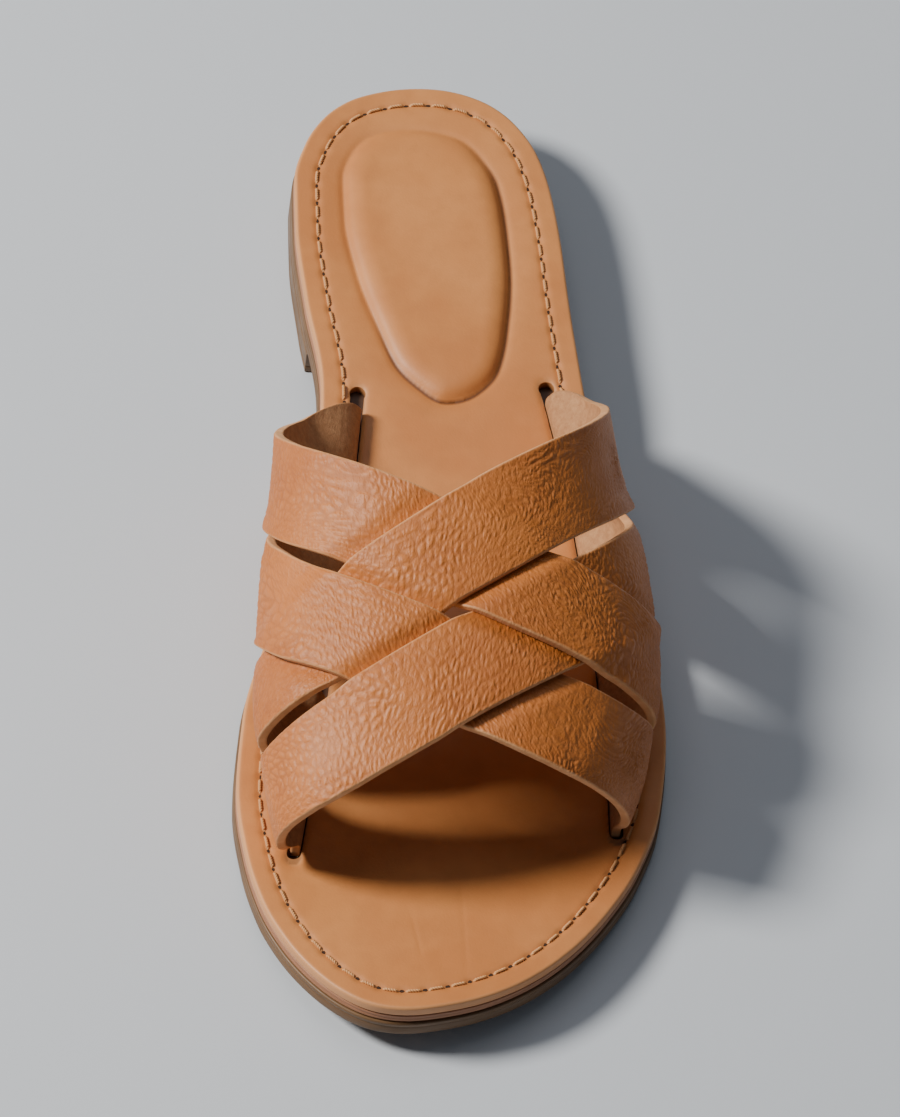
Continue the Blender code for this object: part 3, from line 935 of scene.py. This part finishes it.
def mark_insole(mesh):
    """Stores where the insole's seam, pad crease, slits and rim are, for its colours: painted shade in
    the seam, crease and slits, and the rim's painted highlight.
    """
    co, distance, height = insole_places(mesh)
    x = co[:, 0]
    _, groove, dimple, inside, wall = insole_relief(x, distance)
    # Painted shade along the pad's crease: dark at its lateral side and its front, and fading at the heel
    lateral = blend(x, -16 * MM, 8 * MM)
    front = 1 - blend(distance, 170 * MM, 190 * MM)
    dark = np.maximum(lateral, front) * (1 - blend(distance, 222 * MM, 236 * MM))
    for side in SLITS:
        punch_x, punch_distance = slit_point(side, 0)
        wall = np.minimum(wall, np.hypot(x - punch_x, distance - punch_distance) - PUNCH_RADIUS)
    loop, _ = outline_loop(OUTLINE, 0.0, RIM_POINTS)
    marks = {
        # Painted shade in the seam's groove and stitch dimples
        "groove": np.maximum(groove, 0.6 * dimple) * near_top(height, 1.3, 0.6),
        "pad": inside / MM,
        "crease": 0.05 + 0.95 * dark,
        # Painted shade down the walls of the slits and punched holes
        "shaft": (1 - near_top(height, 1.2, 0.5)) * (1 - blend(wall, 0.1 * MM, 0.5 * MM)),
        # Pale rim round the outline: partly the cut edge's own colour, partly a painted highlight
        "rim": 1 - blend(nearest(loop, x, distance), 0.2 * MM, 0.9 * MM),
        "lip": 1 - blend(wall, 0.05 * MM, 0.9 * MM),
    }
    for mark, values in marks.items():
        set_attribute(mesh, mark, values)


def make_insole():
    """The insole: smooth leather with a raised heel pad, a seam round it and two strap slits."""
    profile = rounded_profile(INSOLE_THICKNESS, 0.2 * MM, 0.75 * MM)
    mesh = slab("insole_leather", 0.0, INSOLE_LOW, profile, INSOLE_STATIONS, INSOLE_COLUMNS)
    weld(mesh)
    co, distance, height = insole_places(mesh)
    relief, *_ = insole_relief(co[:, 0], distance)
    co[:, 2] += relief * near_top(height, 1.0, 0.0)
    mesh.vertices.foreach_set("co", co.reshape(-1).astype(np.float32))
    mesh.update()
    insole = new_object("insole_leather", mesh)
    cut_slits(insole)
    mesh = insole.data
    mesh.shade_smooth()
    mesh.set_sharp_from_angle(angle=CUT_SHARP_ANGLE)
    mark_insole(mesh)
    mesh.materials.clear()
    mesh.materials.append(insole_material())
    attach(insole, "root")
    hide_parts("insole")


def stitch_tubes(at, count, pitch):
    """Two twisted strands for each stitch, whose ends dip into the holes."""
    up = np.array((0.0, 0.0, 1.0))
    ring = np.linspace(0, 2 * math.pi, THREAD_SIDES, endpoint=False)
    tubes = []
    for k in range(count):
        places = np.linspace(k * pitch + STITCH_GAP / 2, (k + 1) * pitch - STITCH_GAP / 2, THREAD_RINGS)
        line = at(places)
        way = unit(at(places + SEAM_STEP) - at(places - SEAM_STEP))
        beside = np.stack([-way[:, 1], way[:, 0], np.zeros(THREAD_RINGS)], -1)
        share = (places - places[0]) / (places[-1] - places[0])
        dip = DIP_DEPTH * (bell(share, DIP_SHARE) + bell(1 - share, DIP_SHARE))
        base = underside(line[:, 1]) + INSOLE_TOP - SEAM_GROOVE_DEPTH + THREAD_RADIUS * STRAND_HEIGHT
        middle = np.stack([line[:, 0], at_toe(line[:, 1]), base - dip], -1)
        around = beside[:, None] * np.cos(ring)[None, :, None] + up * np.sin(ring)[None, :, None]
        for start in (0, math.pi):
            angle = start + 2 * math.pi * (places / THREAD_TWIST)
            offset = beside * np.cos(angle)[:, None] + up * np.sin(angle)[:, None]
            centre = middle + offset * THREAD_RADIUS * STRAND_OFFSET
            tubes.append(centre[:, None] + THREAD_RADIUS * around)
    return tubes


def make_thread():
    """The seam's stitches, and dark discs of painted shade for the holes that they dip into."""
    at, count, pitch, _ = seam_points()
    sides = THREAD_SIDES
    points, faces = [], []
    for tube in stitch_tubes(at, count, pitch):
        first = len(points)
        points += tube.reshape(-1, 3).tolist()
        last = len(points)
        faces += (grid_faces(THREAD_RINGS, sides) + first).tolist()
        faces.append(tuple(range(first, first + sides))[::-1])
        faces.append(tuple(range(last - sides, last)))
    thread_faces = len(faces)
    holes = at(np.arange(count) * pitch)
    relief, *_ = insole_relief(holes[:, 0], holes[:, 1])
    heights = underside(holes[:, 1]) + INSOLE_TOP + relief + HOLE_LIFT
    # Each hole is a dark flat disc just over the insole: painted shade for the inside of the hole
    for (x, distance), height in zip(holes, heights):
        first = len(points)
        for angle in np.linspace(0, 2 * math.pi, HOLE_SIDES, endpoint=False):
            out, on = HOLE_RADIUS * math.cos(angle), HOLE_RADIUS * math.sin(angle)
            points.append((x + out, at_toe(distance + on), height))
        faces.append(tuple(range(first, first + HOLE_SIDES)))
    mesh = bpy.data.meshes.new("seam_thread")
    mesh.from_pydata(points, [], faces)
    mesh.shade_smooth()
    thread = new_object("seam_thread", mesh)
    mesh.materials.append(thread_material())
    mesh.materials.append(hole_material())
    for face in mesh.polygons[thread_faces:]:
        face.material_index = 1
    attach(thread, "root")


def make_sole():
    """The midsole's thin band, the outsole and the heel block."""
    brown = outsole_material()
    # Piece, node, slot, material, margin, level, thickness, front end; then in mm the lower and upper
    # rounding and the groove's height, width and depth
    layers = (
        ("midsole_band", "midsole", "midsole_leather", midsole_material(),
         0.0, MIDSOLE_LOW, MIDSOLE_THICKNESS, None, 0.25, 0.3, (1.05, 0.15, 0.08)),
        ("outsole_side", "outsole", "outsole_brown", brown,
         OUTSOLE_MARGIN, 0.0, OUTSOLE_THICKNESS, None, 0.7, 0.5, (2.9, 0.22, 0.12)),
        ("heel_block", "heel", "outsole_brown", brown,
         OUTSOLE_MARGIN, None, HEEL_THICKNESS, HEEL_FRONT, 0.6, 0.25, (2.2, 0.2, 0.14)),
    )
    for name, node, slot, material, margin, level, thickness, first, low, top, groove in layers:
        groove = [size * MM for size in groove]
        profile = rounded_profile(thickness, low * MM, top * MM, groove)
        mesh = slab(name, margin, level, profile, SOLE_STATIONS, SOLE_COLUMNS, first)
        weld(mesh)
        piece = new_object(name, mesh)
        mesh.materials.append(material)
        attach(piece, "root")
        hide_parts(node)


class Nodes:
    """Short calls for a material's nodes."""

    def __init__(self, name):
        self.material = bpy.data.materials.new(name)
        self.material.use_nodes = True
        self.tree = self.material.node_tree
        self.shader = self.tree.nodes["Principled BSDF"]

    def node(self, kind, output, inputs=(), **settings):
        """The output of a new node with settings, and a value or a link for each input."""
        node = self.tree.nodes.new("ShaderNode" + kind)
        for key, value in settings.items():
            setattr(node, key, value)
        for key, value in dict(inputs).items():
            self.link(value, node.inputs[key])
        return node.outputs[output]

    def link(self, value, socket):
        if isinstance(value, bpy.types.NodeSocket):
            self.tree.links.new(value, socket)
        else:
            socket.default_value = value

    def attribute(self, name):
        return self.node("Attribute", "Fac", attribute_name=name)

    def math(self, operation, first, second=0.0):
        return self.node("Math", 0, {0: first, 1: second}, operation=operation)

    def mix(self, factor, *colours):
        inputs = {"Factor": factor}
        for key, colour in zip((6, 7), colours):
            inputs[key] = colour if isinstance(colour, bpy.types.NodeSocket) else (*colour, 1.0)
        return self.node("Mix", 2, inputs, data_type="RGBA")

    def remap(self, value, low, high, to_low, to_high):
        ends = {"From Min": low, "From Max": high, "To Min": to_low, "To Max": to_high}
        return self.node("MapRange", "Result", {"Value": value, **ends})

    def blotches(self, value, low, high, first, second):
        """The first colour where the value is low and the second where it is high."""
        return self.mix(self.remap(value, low, high, 0, 1), first, second)

    def noise(self, scale, detail=3.0, rough=0.5, vector=None, stretch=None):
        """Noise whose scale is in cells a metre."""
        inputs = {"Scale": scale, "Detail": detail, "Roughness": rough}
        return self.node("TexNoise", "Fac", {"Vector": self.space(vector, stretch), **inputs})

    def cells(self, scale, vector=None, stretch=None):
        """Distance to the nearest border between cells."""
        inputs = {"Vector": self.space(vector, stretch), "Scale": scale}
        return self.node("TexVoronoi", "Distance", inputs, feature="DISTANCE_TO_EDGE")

    def space(self, vector, stretch):
        """A texture's places, by default in the object's own space."""
        if vector is None:
            vector = self.node("TexCoord", "Object")
        if stretch is None:
            return vector
        return self.node("VectorMath", 0, {0: vector, 1: stretch}, operation="MULTIPLY")

    def bump(self, height, distance, strength, under=None):
        inputs = {"Strength": strength, "Distance": distance, "Height": height}
        if under is not None:
            inputs["Normal"] = under
        return self.node("Bump", "Normal", inputs)

    def finish(self, colour, roughness, normal, coat=()):
        """The material; coat is its weight and roughness."""
        inputs = {"Base Color": colour, "Roughness": roughness, "Normal": normal}
        inputs.update(zip(("Coat Weight", "Coat Roughness"), coat))
        for name, value in inputs.items():
            self.link(value, self.shader.inputs[name])
        return self.material


def strap_material():
    """Pebbled full-grain tan leather with pale cut edges and a beige flesh side, and painted shade in the
    grain's furrows.
    """
    n = Nodes("strap leather")
    uv = n.node("UVMap", "UV", uv_map="strap")
    furrow, cut, flesh = n.attribute("furrow"), n.attribute("cut"), n.attribute("flesh")
    tan = n.blotches(n.noise(28), 0.35, 0.65, (0.52, 0.162, 0.027), (0.41, 0.115, 0.017))
    tan = n.mix(n.remap(n.noise(420, 4), 0.35, 0.7, 0, 0.35), tan, (0.58, 0.20, 0.045))
    # Painted shade: the grain's furrows are darkened towards dark brown
    tan = n.mix(n.math("MULTIPLY", furrow, 0.34), tan, (0.19, 0.046, 0.008))
    fibres = n.noise(900, 3, vector=uv, stretch=(0.3, 3, 1))
    edge = n.blotches(fibres, 0.3, 0.7, (0.70, 0.38, 0.18), (0.55, 0.27, 0.11))
    suede = n.blotches(n.noise(650, 5, 0.7), 0.3, 0.7, (0.50, 0.26, 0.12), (0.34, 0.155, 0.065))
    colour = n.blotches(cut, 0.15, 0.75, tan, edge)
    colour = n.blotches(flesh, 0.3, 0.9, colour, suede)
    rough = n.remap(furrow, 0, 1, 0.52, 0.7)
    rough = n.math("MAXIMUM", rough, n.remap(n.math("MAXIMUM", cut, flesh), 0, 1, 0.4, 0.9))
    pores = n.remap(n.cells(1500, vector=uv), 0, 0.25, 0, 1)
    wrinkles = n.remap(n.cells(520, vector=uv, stretch=(1.3, 0.7, 1)), 0, 0.3, 0, 1)
    wrinkles = n.math("MULTIPLY", wrinkles, n.math("SUBTRACT", 1.0, n.math("MAXIMUM", cut, flesh)))
    normal = n.bump(wrinkles, 0.00012, 0.55)
    normal = n.bump(pores, 0.00005, 0.5, normal)
    normal = n.bump(n.noise(1300, 4, 0.6), 0.0001, 0.45, normal)
    return n.finish(colour, rough, normal, (0.05, 0.4))


def insole_material():
    """Smooth vegetable-tanned leather, slightly mottled, with painted shade in its seam, pad crease,
    slits and punched holes; its rim and the slits' lips are pale cut edge, with a painted highlight on
    the rim.
    """
    n = Nodes("insole leather")
    # Pale cut-edge colour, also used as a painted highlight on the rim
    pale_edge_and_highlight = (0.64, 0.32, 0.14)
    groove, shaft = n.attribute("groove"), n.attribute("shaft")
    rim, lip = n.attribute("rim"), n.attribute("lip")
    # Painted shade along the pad's crease
    crease = n.remap(n.math("ABSOLUTE", n.math("ADD", n.attribute("pad"), 0.15)), 0.1, 0.75, 1, 0)
    crease = n.math("MULTIPLY", crease, n.attribute("crease"))
    colour = n.blotches(n.noise(30, 4, 0.6), 0.35, 0.65, (0.64, 0.258, 0.078), (0.53, 0.190, 0.050))
    colour = n.mix(n.remap(n.noise(160, 4, 0.65), 0.45, 0.75, 0, 0.4), colour, (0.47, 0.175, 0.050))
    for mark, share, tint in (
        # The rim: pale cut edge with a painted highlight; the slits' lips: pale cut edge
        (rim, 0.6, pale_edge_and_highlight),
        (lip, 0.5, pale_edge_and_highlight),
        # Painted shade in the seam's groove and stitch dimples
        (groove, 0.25, (0.24, 0.08, 0.02)),
        # Painted shade along the pad's crease
        (crease, 0.85, (0.09, 0.025, 0.006)),
        # Painted shade down the walls of the slits and punched holes
        (shaft, 0.9, (0.06, 0.022, 0.008)),
    ):
        colour = n.mix(n.math("MULTIPLY", mark, share), colour, tint)
    rough = n.remap(n.noise(60, 3), 0.3, 0.7, 0.46, 0.58)
    normal = n.bump(n.noise(1600, 4, 0.6), 0.00005, 0.35)
    normal = n.bump(n.remap(n.cells(900), 0, 0.2, 0, 1), 0.00003, 0.25, normal)
    return n.finish(colour, rough, normal, (0.05, 0.35))


def midsole_material():
    """The pinkish-brown cut edge of the thin leather layer, with painted shade on its top face."""
    n = Nodes("midsole leather")
    streaks = n.noise(500, 4, 0.6, stretch=(0.25, 0.25, 3))
    colour = n.blotches(streaks, 0.3, 0.7, (0.40, 0.175, 0.085), (0.29, 0.12, 0.055))
    # Painted shade: the top face, seen down the slits and punched holes, is near black
    colour = n.blotches(n.attribute("level"), 0.985, 1, colour, (0.07, 0.028, 0.012))
    return n.finish(colour, 0.55, n.bump(streaks, 0.0001, 0.4))


def outsole_material():
    """Olive-brown sole, matt, with a burnished side and fine streaks along it."""
    n = Nodes("outsole brown")
    streaks = n.noise(420, 4, 0.6, stretch=(0.2, 0.2, 3))
    colour = n.blotches(streaks, 0.3, 0.7, (0.165, 0.086, 0.033), (0.108, 0.054, 0.021))
    colour = n.mix(n.remap(n.noise(60, 4), 0.4, 0.7, 0, 0.5), colour, (0.18, 0.095, 0.038))
    rough = n.remap(n.noise(200), 0.3, 0.7, 0.42, 0.6)
    return n.finish(colour, rough, n.bump(streaks, 0.0001, 0.35))


def thread_material():
    """Waxed cream thread."""
    n = Nodes("waxed thread")
    colour = n.mix(n.noise(900), (0.68, 0.35, 0.145), (0.52, 0.24, 0.085))
    return n.finish(colour, 0.55, n.bump(n.noise(2500), 0.00005, 0.3))


def hole_material():
    """Painted shade: the dark inside of a stitch hole, on a flat disc over it."""
    n = Nodes("stitch hole")
    colour = n.mix(n.noise(900), (0.05, 0.018, 0.006), (0.025, 0.009, 0.003))
    return n.finish(colour, 0.9, n.bump(n.noise(2500), 0.00005, 0.2))


def floor_material():
    """Pale matt floor."""
    n = Nodes("pale floor")
    colour = n.mix(n.noise(6, 5), (0.60, 0.64, 0.70), (0.56, 0.60, 0.66))
    return n.finish(colour, 0.75, n.bump(n.noise(180, 4), 0.0002, 0.2))


def make_floor():
    """A pale floor, seen past the sandal on all sides."""
    mesh = bpy.data.meshes.new("floor")
    with editing(mesh) as model:
        bmesh.ops.create_grid(model, x_segments=8, y_segments=8, size=FLOOR_SIZE)
    mesh.materials.append(floor_material())
    new_object("floor", mesh)


def make_lights():
    """Soft studio light: the key from the medial side, a broad one from above, and a dim surround."""
    for name, place, size, power, colour in LIGHTS:
        light = bpy.data.lights.new(name, "AREA")
        light.shape = "DISK"
        light.size = size
        light.energy = power
        light.color = colour
        lamp = new_object(name, light)
        lamp.location = place
        way = Vector(LIGHT_TARGET) - Vector(place)
        lamp.rotation_euler = way.to_track_quat("-Z", "Y").to_euler()
    world = bpy.data.worlds.new("studio")
    world.use_nodes = True
    background = world.node_tree.nodes["Background"]
    background.inputs["Color"].default_value = SURROUND_COLOUR
    background.inputs["Strength"].default_value = SURROUND_STRENGTH
    bpy.context.scene.world = world


def make_camera():
    """The photo's place and direction, zoomed to the one sandal."""
    data = bpy.data.cameras.new("camera")
    data.sensor_fit = "HORIZONTAL"
    data.sensor_width = SENSOR_WIDTH
    data.lens = CAMERA_LENS
    camera = new_object("camera", data)
    back = -Vector(CAMERA_FORWARD).normalized()
    right = Vector(CAMERA_UP).cross(back).normalized()
    axes = Matrix((right, back.cross(right), back)).transposed().to_4x4()
    camera.matrix_world = Matrix.Translation(CAMERA_PLACE) @ axes
    bpy.context.scene.camera = camera


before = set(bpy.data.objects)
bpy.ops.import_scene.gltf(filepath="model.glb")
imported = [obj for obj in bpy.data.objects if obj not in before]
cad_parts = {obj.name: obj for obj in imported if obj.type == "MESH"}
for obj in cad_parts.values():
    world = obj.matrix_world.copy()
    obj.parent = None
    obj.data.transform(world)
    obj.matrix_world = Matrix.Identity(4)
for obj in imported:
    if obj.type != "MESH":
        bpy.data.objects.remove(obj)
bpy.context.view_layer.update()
make_camera()
surface = Surface()
leather = strap_material()
for number, strap_name in enumerate(STRAPS):
    make_strap(strap_name, surface, leather, 20 * number + 3)
make_insole()
make_thread()
make_sole()
make_floor()
make_lights()
